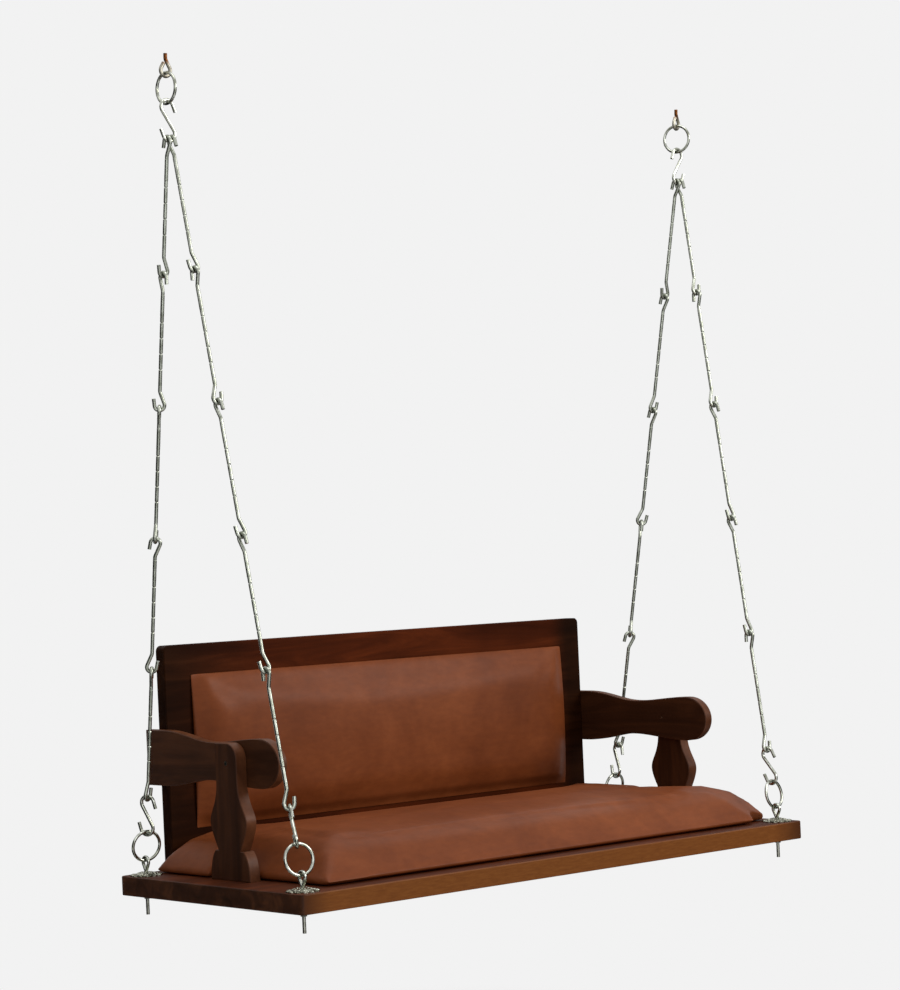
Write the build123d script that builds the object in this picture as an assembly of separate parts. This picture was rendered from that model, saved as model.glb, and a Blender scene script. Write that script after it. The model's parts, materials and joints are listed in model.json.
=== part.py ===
from build123d import *

import math
import os

# A jhoola: a plank seat with a backrest, arms and two leatherette cushions, hung from two
# ceiling hooks by four strands of hooked steel rods. All sizes are in millimetres.
#
# Row frame: the origin is on the ceiling, midway between the two hooks. +X is to the sitter's
# left (the viewer's right), +Y to the rear, +Z up.
# Board frame: the origin is the middle of the seat board's top face, with the same directions
# before the seat leans. hang() takes a piece from the board frame to the row frame.

# ---- general fits
LINK_GAP = 0.3          # between two wires that bear on each other
SEAT_GAP = 0.3          # between a soft or loose piece and what it lies on
BORE_GAP = 0.25         # round a bolt or screw in its hole, on the radius
THREAD_GAP = 0.05       # between a bolt and its nut, on the radius

# ---- seat board
BOARD_LENGTH = 1200.0
BOARD_DEPTH = 500.0
BOARD_THICKNESS = 33.0
BOARD_CORNER_R = 9.0
WOOD_EDGE_R = 2.0       # rounded edges of the board
WOOD_EDGE_CHAMFER = 1.2  # broken edges of the other wooden pieces

# ---- backrest and its pad
BACK_HEIGHT = 390.0     # it fills the width between the two arms
BACK_THICKNESS = 25.0
BACK_CORNER_R = 10.0
PAD_SIDE_MARGIN = 53.0  # wood left bare beside and above the pad
PAD_TOP_MARGIN = 51.0
PAD_BOTTOM = 60.0
PAD_EDGE = 11.0         # straight edge before the dome starts
PAD_CROWN = 27.0
PAD_SHOULDER = 50.0     # how far in from the edge the dome reaches its shoulder
PAD_SHOULDER_HEIGHT = 23.8
PAD_CREST = 120.0       # how far in the crown starts

# ---- seat cushion
CUSHION_SIDE = 13.0      # past each end of the backrest, under the rails
CUSHION_SETBACK = 40.0  # from the board's front edge
CUSHION_EDGE = 10.0
CUSHION_SHOULDER_HEIGHT = 48.0
CUSHION_SHOULDER = 38.0
CUSHION_CREST_HEIGHT = 68.0
CUSHION_CREST = 66.0
CUSHION_BROW_HEIGHT = 76.0
CUSHION_BROW = 100.0
CUSHION_CROWN = 84.0
CUSHION_CROWN_INSET = 182.0
CUSHION_REAR_SHOULDER = 19.0  # the rear is steep at the foot and falls gently from the crown
CUSHION_REAR_CREST = 38.0
CUSHION_REAR_BROW = 90.0
CUSHION_REAR_CROWN = 150.0
LOBE_REACH = 29.0       # the front right corner squeezes out this far past the arm post
LOBE_POST_GAP = 10.0    # from a squeezed corner to the foot of the post
LOBE_SHOULDER_HEIGHT = 35.0
LOBE_SHOULDER = 19.0
LOBE_CREST_HEIGHT = 58.0
LOBE_CREST = 44.0
LOBE_HEIGHT = 70.0
LOBE_CROWN_INSET = 80.0

# ---- arms
ARM_SETBACK = 56.0      # from the board's end to the outer face of a post
RAIL_THICKNESS = 18.0
RAIL_OVERHANG = 14.0    # behind the backrest
RAIL_REACH = 331.0      # from the front of the backrest to the rail's tip
RAIL_REAR_TOP = 245.0
RAIL_REAR_BOTTOM = 149.0
RAIL_WAIST_TOP = 228.5
RAIL_WAIST_BOTTOM = 163.0
RAIL_WAIST_REACH = 130.0
RAIL_SHOULDER = 13.0    # the straight rear part ends this far in front of the backrest
RAIL_BULB_TOP = 235.5
RAIL_BULB_BOTTOM = 153.0
RAIL_BULB_REACH = 280.0
POST_THICKNESS = 22.0
POST_REACH = 216.0      # from the front of the backrest to the middle of a post
POST_TOP = 229.0
POST_TOP_R = 27.0
POST_NECK_HALF = 29.0
POST_NECK_Z = 165.0
POST_BELLY_HALF = 49.5
POST_BELLY_Z = 98.0
POST_WAIST_HALF = 30.5
POST_LEDGE_Z = 50.0
POST_LEDGE_HALF = 39.0
POST_FOOT_HALF = 53.5

# ---- hardware on the board
BOLT_END_INSET = 30.5   # from the board's end
BOLT_EDGE_INSET = 36.0  # from the board's front or rear edge
EYE_WIRE = 5.6
EYE_ARCH_R = 8.0        # centre line of the eye's arch
EYE_ARCH_Z = 23.5       # centre of the arch above the board
EYE_ROOT_Z = 6.0        # where the two legs meet the shank
BOLT_DIAMETER = 6.0
BOLT_END_Z = -67.0
WASHER_DIAMETER = 18.0
WASHER_THICKNESS = 1.6
NUT_ACROSS_FLATS = 10.0
NUT_HEIGHT = 5.2
PLATE_LOBES = 12
PLATE_LOBE_R = 7.0
PLATE_LOBE_PITCH_R = 21.5
PLATE_RIM = 1.6
PLATE_DOME_R = 19.0
PLATE_SHOULDER_R = 14.0
PLATE_SHOULDER_HEIGHT = 4.6
PLATE_DOME_HEIGHT = 6.0
PLATE_BOSS_R = 7.0
PLATE_LAP = 1.0          # the dome's edge over the inside of the rim

# ---- screws and dowels
SCREW_SHANK = 4.0
SCREW_HEAD = 8.0
SCREW_HEAD_HEIGHT = 3.0
BACK_SCREW_LENGTH = 70.0
BACK_SCREW_COUNT = 4
BACK_SCREW_INSET = 90.0
POST_SCREW_SPACING = 60.0
ARM_SCREW_Z = 195.5
DOWEL_DIAMETER = 8.0
DOWEL_LENGTH = 30.0
DOWEL_IN_RAIL = 11.0
DOWEL_SPACING = 50.0
DOWEL_GAP = 0.1         # round a dowel and past its ends
ARM_SCREW_SHY = 1.0      # the tip stops this far inside the rail's inner face

# ---- rings, S-hooks and rods
RING_WIRE = 5.4
RING_R = 25.5           # centre line
S_WIRE = 6.0
S_BOWL_R = 12.0         # centre line of both bowls
S_CROWNS = 68.0         # between the two crowns' centre lines
S_TAIL = 13.0
S_SPLAY = 20.0          # degrees that the tails lean out
ROD_WIRE = 6.4
ROD_CROWNS = 229.4      # between a rod's two crowns' centre lines
ROD_BOWL_R = 8.4
ROD_KNEE = 31.0         # where the leg of a hook leaves the shaft, from the crown
ROD_KNEE_BEND = 12.0
ROD_TAIL = 12.0
ROD_SPLAY = 8.0         # degrees that the tails lean out
ROD_COUNT = 5           # in each strand
ROD_PAIR_OFFSET = 3.5   # the two rods of a side hang this far each way in one S-hook
NICK_COUNT = 4
NICK_PITCH = 26.0
NICK_FIRST = 83.0       # from the rod's upper crown
NICK_DEPTH = 0.7
NICK_WIDTH = 3.0

# How the joints of a strand hang, from its first rod down to its S-hook: the side of the lower
# hook's tail (1 is +X), the side of the tail below it (1 is +Y), and the joint's turn in degrees.
JOINTS = {
    "front_left": ((-1, 1, 0), (1, -1, 0), (-1, -1, 0), (-1, 1, 0), (1, -1, -33)),
    "rear_left": ((-1, -1, 0), (-1, 1, -38), (1, 1, 45), (1, 1, -40), (1, -1, 24)),
    "front_right": ((1, 1, 0), (1, -1, 0), (-1, -1, 0), (-1, 1, 0), (1, -1, 0)),
    "rear_right": ((-1, 1, 0), (1, 1, 0), (1, -1, -35), (1, 1, 52), (1, -1, -8)),
}
RING_TURN = {"front_left": -8, "rear_left": -8, "front_right": 8, "rear_right": 4}
TOP_RING_TURN = {"left": 0, "right": 20}
HOOK_TURN = {"left": 0, "right": 15}

# ---- ceiling hooks
HOOK_SPACING = 1220.0
HOOK_WIRE = 6.4
HOOK_BOWL_R = 9.5
HOOK_DROP = 35.5        # from the ceiling down to the centre line of the bowl
HOOK_KNEE = 28.0        # where the legs of the eye meet, above the crown
HOOK_TIP_GAP = 1.5
HOOK_SHANK = 2.0        # inside the ceiling

# ---- how it hangs
HANG_LEAN = 2.8         # degrees; the seat's weight is behind the middle of the board

SIDES = {"left": -1, "right": 1}
ENDS = {"front": -1, "rear": 1}


# ------------------------------------------------------------------ places
def span(a, b):
    """Centre distance of two crossed wires that bear on each other."""
    return (a + b) / 2 + LINK_GAP


BOLT_X = BOARD_LENGTH / 2 - BOLT_END_INSET
BOLT_Y = BOARD_DEPTH / 2 - BOLT_EDGE_INSET
BACK_FRONT_Y = BOARD_DEPTH / 2 - BACK_THICKNESS
POST_OUTER_X = BOARD_LENGTH / 2 - ARM_SETBACK
POST_INNER_X = POST_OUTER_X - POST_THICKNESS
RAIL_INNER_X = POST_INNER_X - RAIL_THICKNESS
BACK_WIDTH = 2 * RAIL_INNER_X
PAD_WIDTH = BACK_WIDTH - 2 * PAD_SIDE_MARGIN
PAD_TOP = BACK_HEIGHT - PAD_TOP_MARGIN
POST_CENTER_Y = BACK_FRONT_Y - POST_REACH
RAIL_WAIST_Y = BACK_FRONT_Y - RAIL_WAIST_REACH
RAIL_BULB_Y = BACK_FRONT_Y - RAIL_BULB_REACH
RAIL_TIP = BACK_FRONT_Y - RAIL_REACH
CUSHION_HALF = RAIL_INNER_X + CUSHION_SIDE
CUSHION_FRONT_Y = -BOARD_DEPTH / 2 + CUSHION_SETBACK
PLATE_R = PLATE_LOBE_PITCH_R + PLATE_LOBE_R
LOBE_FRONT_Y = -BOLT_Y + PLATE_R + SEAT_GAP
REAR_LOBE_X = BOLT_X - PLATE_R - SEAT_GAP
POST_FRONT_Y = POST_CENTER_Y - POST_FOOT_HALF
POST_REAR_Y = POST_CENTER_Y + POST_FOOT_HALF
ARM_SCREW_LENGTH = POST_THICKNESS + RAIL_THICKNESS - ARM_SCREW_SHY

# Heights along a strand, from the centre line of the eye's arch up towards the ceiling.
RING_BOTTOM = -span(EYE_WIRE, RING_WIRE)
RING_CENTER = RING_BOTTOM + RING_R
S_LOW_CROWN = RING_CENTER + RING_R - span(RING_WIRE, S_WIRE)
S_HIGH_CROWN = S_LOW_CROWN + S_CROWNS
LAST_ROD = S_HIGH_CROWN - span(S_WIRE, ROD_WIRE)
ROD_PITCH = ROD_CROWNS - span(ROD_WIRE, ROD_WIRE)
STRAND_LENGTH = LAST_ROD + (ROD_COUNT - 1) * ROD_PITCH + ROD_CROWNS

# The two rods of a side hang side by side, so they sit a little up the walls of the bowl.
PAIR_ROOM_R = S_BOWL_R - span(S_WIRE, ROD_WIRE)
PAIR_RISE = S_BOWL_R - math.sqrt(PAIR_ROOM_R ** 2 - ROD_PAIR_OFFSET ** 2)

# A strand leans in towards the middle of the board and out towards its ceiling hook.
TOP_STACK = S_CROWNS - span(S_WIRE, RING_WIRE)
LEAN_Y = BOLT_Y / (STRAND_LENGTH + EYE_ARCH_R)
EYE_TOUCH_Y = BOLT_Y - EYE_ARCH_R * LEAN_Y
EYE_TOUCH_Z = EYE_ARCH_Z + EYE_ARCH_R * math.sqrt(1 - LEAN_Y ** 2)
HOOK_OUT = HOOK_SPACING / 2 - BOLT_X
STRAND_RISE = math.sqrt(STRAND_LENGTH ** 2 - EYE_TOUCH_Y ** 2 - HOOK_OUT ** 2)
LOW_BOWL_Z = EYE_TOUCH_Z + STRAND_RISE - PAIR_RISE
PIVOT_Z = LOW_BOWL_Z + TOP_STACK
LEAN_X = math.degrees(math.atan2(HOOK_OUT, PIVOT_Z - EYE_TOUCH_Z))
TOP_RING_Z = PIVOT_Z + RING_R
SWING_Z = TOP_RING_Z + RING_R - span(RING_WIRE, HOOK_WIRE)


def hang(shape):
    """From the board frame to the row frame: the seat leans back about the hooks' crowns."""
    return Pos(0, 0, -HOOK_DROP) * Rot(-HANG_LEAN, 0, 0) * Pos(0, 0, -SWING_Z) * shape


def lean_out(side):
    """The line from a side's eyes to its top ring: origin at the ring's lowest centre line."""
    return Pos(side * HOOK_SPACING / 2, 0, PIVOT_Z) * Rot(0, side * LEAN_X, 0)


def strand_frame(side, end):
    """Local Z runs up one strand from the eye; local X stays nearly along the board."""
    foot = Vector(side * BOLT_X, end * EYE_TOUCH_Y, EYE_TOUCH_Z)
    offset = -end * ROD_PAIR_OFFSET
    bowl = lean_out(side) * Pos(offset, 0, PAIR_RISE - TOP_STACK)
    head = bowl.position
    up = (head - foot).normalized()
    along = Vector(0, 1, 0).cross(up).normalized()
    return Plane(origin=foot, x_dir=along, z_dir=up).location


# ------------------------------------------------------------------ wire work
def wire_rod(edges, diameter):
    """A round wire along flat edges drawn in the XY plane."""
    path = Wire(edges)
    start = Plane(origin=path @ 0, z_dir=path % 0)
    return sweep(start * Circle(diameter / 2), path=path)


def polar(center, radius, degrees):
    angle = math.radians(degrees)
    return Vector(center[0] + radius * math.cos(angle), center[1] + radius * math.sin(angle))


def pin(radius, low, high):
    """An upright cylinder between two heights."""
    return Pos(0, 0, low) * Cylinder(
        radius, high - low, align=(Align.CENTER, Align.CENTER, Align.MIN)
    )


def ring():
    """A welded ring in the XZ plane."""
    return Rot(90, 0, 0) * Torus(RING_R, RING_WIRE / 2)


def s_hook():
    """An S-hook in the XZ plane, with its lower crown at the origin."""
    half = S_CROWNS / 2 - S_BOWL_R
    wrap = math.degrees(math.asin(S_BOWL_R / half))
    upper = (0, S_CROWNS / 2 + half)
    lower = (0, S_CROWNS / 2 - half)
    sweep_angle = 180 + wrap - S_SPLAY
    tail_dir = Vector(math.sin(math.radians(S_SPLAY)), -math.cos(math.radians(S_SPLAY)))
    upper_start = polar(upper, S_BOWL_R, S_SPLAY)
    upper_end = polar(upper, S_BOWL_R, S_SPLAY + sweep_angle)
    lower_start = polar(lower, S_BOWL_R, S_SPLAY + sweep_angle - 180)
    lower_end = polar(lower, S_BOWL_R, S_SPLAY + 180)
    edges = [
        Line(upper_start + tail_dir * S_TAIL, upper_start),
        CenterArc(upper, S_BOWL_R, S_SPLAY, sweep_angle),
        Line(upper_end, lower_start),
        CenterArc(lower, S_BOWL_R, S_SPLAY + sweep_angle - 180, -sweep_angle),
        Line(lower_end, lower_end - tail_dir * S_TAIL),
    ]
    return Rot(90, 0, 0) * wire_rod(edges, S_WIRE)


def rod_hook():
    """One open hook in the XY plane: crown at the origin, shaft up the Y axis."""
    lean = math.asin(ROD_BOWL_R / (ROD_KNEE - ROD_BOWL_R))
    bend = ROD_KNEE_BEND * math.tan(lean / 2)
    center = (0, ROD_BOWL_R)
    tail_foot = polar(center, ROD_BOWL_R, -ROD_SPLAY)
    tail_dir = Vector(math.sin(math.radians(ROD_SPLAY)), math.cos(math.radians(ROD_SPLAY)))
    leg_dir = Vector(math.sin(lean), math.cos(lean))
    leg_foot = polar(center, ROD_BOWL_R, 180 - math.degrees(lean))
    leg_head = Vector(0, ROD_KNEE) - leg_dir * bend
    edges = [
        Line(tail_foot + tail_dir * ROD_TAIL, tail_foot),
        CenterArc(center, ROD_BOWL_R, -ROD_SPLAY, ROD_SPLAY - 180 - math.degrees(lean)),
        Line(leg_foot, leg_head),
        TangentArc(leg_head, (0, ROD_KNEE + bend), tangent=leg_dir),
    ]
    return wire_rod(edges, ROD_WIRE), ROD_KNEE + bend


def rod_shaft(low, high):
    """The straight middle of a rod, with its row of forged nicks."""
    radius = ROD_WIRE / 2
    outline = [(0, low), (radius, low)]
    for nick in reversed(range(NICK_COUNT)):
        z = ROD_CROWNS - NICK_FIRST - nick * NICK_PITCH
        outline.append((radius, z - NICK_WIDTH / 2))
        outline.append((radius - NICK_DEPTH, z))
        outline.append((radius, z + NICK_WIDTH / 2))
    outline.append((radius, high))
    outline.append((0, high))
    profile = Plane.XZ * make_face(Polyline(*outline, close=True))
    return revolve(profile, Axis.Z)


def rod(low_turn, high_turn):
    """A rod with a hook at each end; the turns are the directions of the two tails."""
    hook, shaft_start = rod_hook()
    low_hook = Rot(0, 0, low_turn) * Rot(90, 0, 0) * hook
    high_hook = Pos(0, 0, ROD_CROWNS) * Rot(0, 0, high_turn) * Rot(-90, 0, 0) * hook
    return low_hook + rod_shaft(shaft_start, ROD_CROWNS - shaft_start) + high_hook


def ceiling_hook(side, turn):
    """A screw hook in the row frame: shank, leaning leg, bowl, and a tip bent back to the stem."""
    radius = HOOK_WIRE / 2
    lean = math.asin(HOOK_BOWL_R / (HOOK_KNEE - HOOK_BOWL_R))
    lean_degrees = math.degrees(lean)
    center = (0, HOOK_BOWL_R)
    bend = HOOK_BOWL_R * math.tan(lean / 2)
    knee = Vector(0, HOOK_KNEE)
    stem_foot = knee + Vector(0, bend)
    leg_head = knee + Vector(math.sin(lean), -math.cos(lean)) * bend
    leg_foot = polar(center, HOOK_BOWL_R, lean_degrees)
    tip_foot = polar(center, HOOK_BOWL_R, 180 - lean_degrees)
    tip_back = (radius * (1 + math.cos(2 * lean)) + HOOK_TIP_GAP) / math.sin(2 * lean)
    tip = knee - Vector(math.sin(lean), math.cos(lean)) * tip_back
    edges = [
        TangentArc(stem_foot, leg_head, tangent=(0, -1)),
        Line(leg_head, leg_foot),
        CenterArc(center, HOOK_BOWL_R, lean_degrees, -180 - 2 * lean_degrees),
        Line(tip_foot, tip),
    ]
    stem = pin(radius, stem_foot.Y, HOOK_DROP + HOOK_SHANK)
    hook = Rot(90, 0, 0) * wire_rod(edges, HOOK_WIRE) + stem
    return Pos(side * HOOK_SPACING / 2, 0, -HOOK_DROP) * Rot(0, 0, turn) * hook


def eyebolt():
    """A pear-shaped eye in the YZ plane on a bolt shank, in the board frame at the origin."""
    reach = EYE_ARCH_Z - EYE_ROOT_Z
    lean = math.asin(EYE_ARCH_R / reach)
    center = (0, EYE_ARCH_Z)
    leg_head = polar(center, EYE_ARCH_R, -math.degrees(lean))
    edges = [
        Line((0, EYE_ROOT_Z), leg_head),
        CenterArc(center, EYE_ARCH_R, -math.degrees(lean), 90 + math.degrees(lean)),
    ]
    half_eye = Rot(0, 0, 90) * Rot(90, 0, 0) * wire_rod(edges, EYE_WIRE)
    shank_top = EYE_ROOT_Z + EYE_WIRE / 2
    shank = pin(BOLT_DIAMETER / 2, BOLT_END_Z, shank_top)
    return half_eye + mirror(half_eye, about=Plane.XZ) + shank


# ------------------------------------------------------------------ turned and pressed hardware
def rosette():
    """A pressed cover plate: scalloped rim, domed middle and a boss round the eyebolt."""
    lobes = [
        loc * Circle(PLATE_LOBE_R) for loc in PolarLocations(PLATE_LOBE_PITCH_R, PLATE_LOBES)
    ]
    rim = Circle(PLATE_LOBE_PITCH_R) + lobes
    bore = BOLT_DIAMETER / 2 + BORE_GAP
    dome_outline = [
        (bore, 0),
        (PLATE_DOME_R, 0),
        (PLATE_DOME_R, PLATE_RIM),
        (PLATE_SHOULDER_R, PLATE_SHOULDER_HEIGHT),
        (PLATE_BOSS_R, PLATE_DOME_HEIGHT),
        (bore, EYE_ROOT_Z - SEAT_GAP),
    ]
    dome = revolve(Plane.XZ * make_face(Polyline(*dome_outline, close=True)), Axis.Z)
    return extrude(rim, PLATE_RIM) - pin(PLATE_DOME_R - PLATE_LAP, -1, PLATE_RIM + 1) + dome


def hex_nut():
    """An M6 nut that hangs from the origin down, with a bore close to the bolt."""
    corner_r = NUT_ACROSS_FLATS / math.sqrt(3)
    blank = extrude(RegularPolygon(corner_r, 6), -NUT_HEIGHT)
    return blank - pin(BOLT_DIAMETER / 2 + THREAD_GAP, -NUT_HEIGHT - 1, 1)


def washer():
    """A plain washer that hangs from the origin down."""
    disc = pin(WASHER_DIAMETER / 2, -WASHER_THICKNESS, 0)
    return disc - pin(BOLT_DIAMETER / 2 + BORE_GAP, -WASHER_THICKNESS - 1, 1)


def screw(length, spread=0.0):
    """A countersunk screw from its head at the origin up Z; spread widens it into its hole."""
    head = SCREW_HEAD / 2 + spread
    shank = SCREW_SHANK / 2 + spread
    outline = [
        (0, 0),
        (head, 0),
        (shank, SCREW_HEAD_HEIGHT),
        (shank, length),
        (0, length),
    ]
    return revolve(Plane.XZ * make_face(Polyline(*outline, close=True)), Axis.Z)


def cut(body, tools):
    """The body with every tool's shape taken out of it."""
    for tool in tools:
        body = body - tool
    return body


# ------------------------------------------------------------------ where the fasteners go
def bolt_places():
    return [
        (f"{end}_{side}", Pos(sx * BOLT_X, sy * BOLT_Y, 0))
        for side, sx in SIDES.items()
        for end, sy in ENDS.items()
    ]


def back_screw_places():
    """Heads on the board's underside, in line with the middle of the backrest."""
    first = -BACK_WIDTH / 2 + BACK_SCREW_INSET
    pitch = -2 * first / (BACK_SCREW_COUNT - 1)
    y = BACK_FRONT_Y + BACK_THICKNESS / 2
    return [Pos(first + k * pitch, y, -BOARD_THICKNESS) for k in range(BACK_SCREW_COUNT)]


def post_screw_places():
    x = POST_INNER_X + POST_THICKNESS / 2
    return [
        Pos(side * x, POST_CENTER_Y + step * POST_SCREW_SPACING / 2, -BOARD_THICKNESS)
        for side in SIDES.values()
        for step in (-1, 1)
    ]


def arm_screw_places():
    """Heads on the outer faces of the posts, shanks inward through post and rail."""
    return [
        Pos(side * POST_OUTER_X, POST_CENTER_Y, ARM_SCREW_Z) * Rot(0, -90 * side, 0)
        for side in SIDES.values()
    ]


def dowel_places():
    """Inner ends of the dowels that join the rails to the ends of the backrest."""
    middle_z = (RAIL_REAR_TOP + RAIL_REAR_BOTTOM) / 2
    y = BACK_FRONT_Y + BACK_THICKNESS / 2
    inner = RAIL_INNER_X + DOWEL_IN_RAIL - DOWEL_LENGTH
    return [
        Pos(side * inner, y, middle_z + step * DOWEL_SPACING / 2) * Rot(0, 90 * side, 0)
        for side in SIDES.values()
        for step in (-1, 1)
    ]


def bolt_holes():
    bore = pin(BOLT_DIAMETER / 2 + BORE_GAP, -BOARD_THICKNESS - 1, 1)
    return [place * bore for _, place in bolt_places()]


def board_screw_holes():
    places = back_screw_places() + post_screw_places()
    return [place * screw(BACK_SCREW_LENGTH, BORE_GAP) for place in places]


def dowel_holes():
    hole = pin(DOWEL_DIAMETER / 2 + DOWEL_GAP, -DOWEL_GAP, DOWEL_LENGTH + DOWEL_GAP)
    return [place * hole for place in dowel_places()]


def arm_screw_holes():
    hole = screw(POST_THICKNESS + RAIL_THICKNESS + 1, BORE_GAP)
    return [place * hole for place in arm_screw_places()]


# ------------------------------------------------------------------ wooden pieces
def seat_board():
    board = Box(
        BOARD_LENGTH,
        BOARD_DEPTH,
        BOARD_THICKNESS,
        align=(Align.CENTER, Align.CENTER, Align.MAX),
    )
    board = fillet(board.edges().filter_by(Axis.Z), BOARD_CORNER_R)
    rims = board.faces().sort_by(Axis.Z)[-1].edges() + board.faces().sort_by(Axis.Z)[0].edges()
    board = fillet(rims, WOOD_EDGE_R)
    return cut(board, bolt_holes() + board_screw_holes())


def backrest_board():
    board = Pos(0, BACK_FRONT_Y, 0) * Box(
        BACK_WIDTH, BACK_THICKNESS, BACK_HEIGHT, align=(Align.CENTER, Align.MIN, Align.MIN)
    )
    top_corners = board.edges().filter_by(Axis.Y).group_by(Axis.Z)[-1]
    board = fillet(top_corners, BACK_CORNER_R)
    front = board.faces().sort_by(Axis.Y)[0].edges()
    rear = board.faces().sort_by(Axis.Y)[-1].edges()
    upper = (front + rear).filter_by(lambda e: e.center().Z > WOOD_EDGE_CHAMFER)
    board = chamfer(upper, WOOD_EDGE_CHAMFER)
    return cut(board, board_screw_holes() + dowel_holes())


def slab(outline, inner_x, thickness, side):
    """A plank cut to an outline in the YZ plane, on one side of the seat, with broken edges."""
    plank = Pos(inner_x, 0, 0) * extrude(Plane.YZ * make_face(outline), thickness)
    rims = [e for x in (inner_x, inner_x + thickness) for e in plank.edges() if on_plane(e, x)]
    plank = chamfer(rims, WOOD_EDGE_CHAMFER)
    return plank if side > 0 else mirror(plank, about=Plane.YZ)


def on_plane(edge, x):
    box = edge.bounding_box()
    return abs(box.min.X - x) < 1e-3 and abs(box.max.X - x) < 1e-3


def arm_rail(side):
    """A waisted rail with a rounded bulb at the front, in the (Y, Z) plane."""
    rear = BOARD_DEPTH / 2 + RAIL_OVERHANG
    shoulder = BACK_FRONT_Y - RAIL_SHOULDER
    tip_z = (RAIL_BULB_TOP + RAIL_BULB_BOTTOM) / 2
    top = Spline(
        (shoulder, RAIL_REAR_TOP),
        (RAIL_WAIST_Y, RAIL_WAIST_TOP),
        (RAIL_BULB_Y, RAIL_BULB_TOP),
        tangents=[(-1, 0), (-1, 0)],
    )
    nose = EllipticalCenterArc(
        (RAIL_BULB_Y, tip_z),
        RAIL_BULB_Y - RAIL_TIP,
        RAIL_BULB_TOP - tip_z,
        start_angle=90,
        arc_size=180,
    )
    bottom = Spline(
        (RAIL_BULB_Y, RAIL_BULB_BOTTOM),
        (RAIL_WAIST_Y, RAIL_WAIST_BOTTOM),
        (shoulder, RAIL_REAR_BOTTOM),
        tangents=[(1, 0), (1, 0)],
    )
    outline = [
        Line((rear, RAIL_REAR_TOP), (shoulder, RAIL_REAR_TOP)),
        top,
        nose,
        bottom,
        Line((shoulder, RAIL_REAR_BOTTOM), (rear, RAIL_REAR_BOTTOM)),
        Line((rear, RAIL_REAR_BOTTOM), (rear, RAIL_REAR_TOP)),
    ]
    rail = slab(Wire(outline), RAIL_INNER_X, RAIL_THICKNESS, side)
    return cut(rail, arm_screw_holes() + dowel_holes())


def arm_post(side):
    """A baluster plank: flared foot, ledge, belly, neck and a rounded front shoulder."""
    c = POST_CENTER_Y
    edges = []
    for way in (-1, 1):
        edges += [
            Spline(
                (c + way * POST_FOOT_HALF, 0),
                (c + way * POST_LEDGE_HALF, POST_LEDGE_Z),
                tangents=[(0, 1), (-way * 0.7, 0.7)],
            ),
            Line(
                (c + way * POST_LEDGE_HALF, POST_LEDGE_Z),
                (c + way * POST_WAIST_HALF, POST_LEDGE_Z),
            ),
            Spline(
                (c + way * POST_WAIST_HALF, POST_LEDGE_Z),
                (c + way * POST_BELLY_HALF, POST_BELLY_Z),
                (c + way * POST_NECK_HALF, POST_NECK_Z),
                tangents=[(way * 0.45, 0.9), (0, 1)],
            ),
        ]
    front = c - POST_NECK_HALF
    rear = c + POST_NECK_HALF
    edges += [
        Line((front, POST_NECK_Z), (front, POST_TOP - POST_TOP_R)),
        TangentArc((front, POST_TOP - POST_TOP_R), (front + POST_TOP_R, POST_TOP), tangent=(0, 1)),
        Line((front + POST_TOP_R, POST_TOP), (rear, POST_TOP)),
        Line((rear, POST_TOP), (rear, POST_NECK_Z)),
        Line((c - POST_FOOT_HALF, 0), (c + POST_FOOT_HALF, 0)),
    ]
    post = slab(Wire(edges), POST_INNER_X, POST_THICKNESS, side)
    return cut(post, arm_screw_holes() + board_screw_holes())


# ------------------------------------------------------------------ soft pieces
def rectangle_at(x0, x1, y0, y1, z):
    return Pos((x0 + x1) / 2, (y0 + y1) / 2, z) * Rectangle(x1 - x0, y1 - y0)


def seat_cushion():
    """A hipped, crowned cushion, with two corners squeezed out past the arm posts."""
    front = CUSHION_FRONT_Y
    rear = BACK_FRONT_Y - SEAT_GAP
    levels = [
        (SEAT_GAP, 0, 0),
        (CUSHION_EDGE, 0, 0),
        (CUSHION_SHOULDER_HEIGHT, CUSHION_SHOULDER, CUSHION_REAR_SHOULDER),
        (CUSHION_CREST_HEIGHT, CUSHION_CREST, CUSHION_REAR_CREST),
        (CUSHION_BROW_HEIGHT, CUSHION_BROW, CUSHION_REAR_BROW),
        (CUSHION_CROWN, CUSHION_CROWN_INSET, CUSHION_REAR_CROWN),
    ]
    body = loft(
        [
            rectangle_at(
                inset - CUSHION_HALF, CUSHION_HALF - inset, front + inset, rear - rear_inset, z
            )
            for z, inset, rear_inset in levels
        ],
        ruled=True,
    )
    front_lobe = lobe(1, POST_OUTER_X + LOBE_REACH, LOBE_FRONT_Y, POST_FRONT_Y - LOBE_POST_GAP)
    rear_lobe = lobe(-1, REAR_LOBE_X, rear, POST_REAR_Y + LOBE_POST_GAP)
    return body + front_lobe + rear_lobe


def lobe(side, outer, free_y, post_y):
    """A corner that squeezes out past an arm post: hipped to its free side, steep at the post."""
    inner = CUSHION_HALF - CUSHION_BROW
    inward = math.copysign(1, post_y - free_y)
    levels = [
        (SEAT_GAP, 0),
        (CUSHION_EDGE, 0),
        (LOBE_SHOULDER_HEIGHT, LOBE_SHOULDER),
        (LOBE_CREST_HEIGHT, LOBE_CREST),
        (LOBE_HEIGHT, LOBE_CROWN_INSET),
    ]
    return loft(
        [
            rectangle_at(
                *sorted((side * inner, side * (outer - inset))),
                *sorted((free_y + inward * inset, post_y - inward * inset / 2)),
                z,
            )
            for z, inset in levels
        ],
        ruled=True,
    )


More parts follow.
